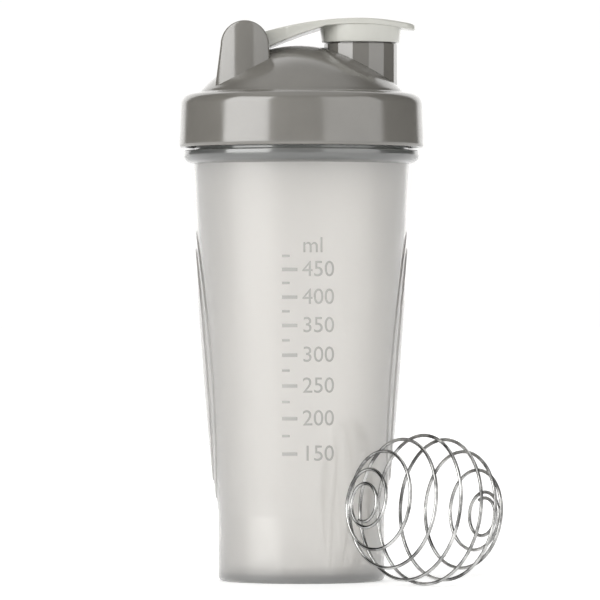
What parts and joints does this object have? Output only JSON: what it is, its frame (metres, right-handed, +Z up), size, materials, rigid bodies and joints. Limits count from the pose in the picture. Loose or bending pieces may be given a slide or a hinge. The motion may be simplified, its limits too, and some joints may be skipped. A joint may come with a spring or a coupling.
{
  "type": "protein shaker bottle",
  "caption": "Tapered frosted shaker bottle with a screw lid, a flip cap over a faceted spout, side grips and a loose wire whisk ball.",
  "frame": {"origin": "centre of the bottle's foot, on the surface it stands on", "axes": "+Z up along the bottle's axis, +X towards the spout and the cap's thumb tab, -Y towards the side where the whisk ball stands"},
  "size_m": [0.1262, 0.1209, 0.2213],
  "materials": {
    "frosted_plastic": "frosted, see-through, satin outside",
    "lid_plastic": "warm grey, glossy",
    "cap_plastic": "light grey, satin gloss",
    "silicone": "translucent white, matt",
    "pin_steel": "drawn rod",
    "wire_steel": "bright drawn stainless wire"
  },
  "bodies": {
    "bottle": {"bottle_body": "frosted_plastic"},
    "seal_ring": {"lid_seal": "silicone"},
    "lid": {"lid": "lid_plastic", "hinge_pin": "pin_steel"},
    "flip_cap": {"flip_cap": "cap_plastic", "spout_seal": "silicone"},
    "whisk": {"whisk_ball": "wire_steel"}
  },
  "joints": [
    {"name": "lid_lift", "type": "slide", "parent": "bottle", "child": "seal_ring", "axis": [0, 0, 1], "range_m": [0, 0.024]},
    {"name": "lid_turn", "type": "hinge", "parent": "seal_ring", "child": "lid", "pos_m": [0, 0, 0.18], "axis": [0, 0, 1], "range_deg": [0, 720]},
    {"name": "flip_cap_hinge", "type": "hinge", "parent": "lid", "child": "flip_cap", "pos_m": [-0.0222, 0, 0.2105], "axis": [0, -1, 0], "range_deg": [0, 150]},
    {"name": "whisk_slide", "type": "slide", "parent": "bottle", "child": "whisk", "axis": [0.7414, -0.6711, 0], "range_m": [0, 0.06]}
  ],
  "couplings": [
    {"joint": "lid_lift", "follows": "lid_turn", "m_per_rad": 0.0019098}
  ]
}
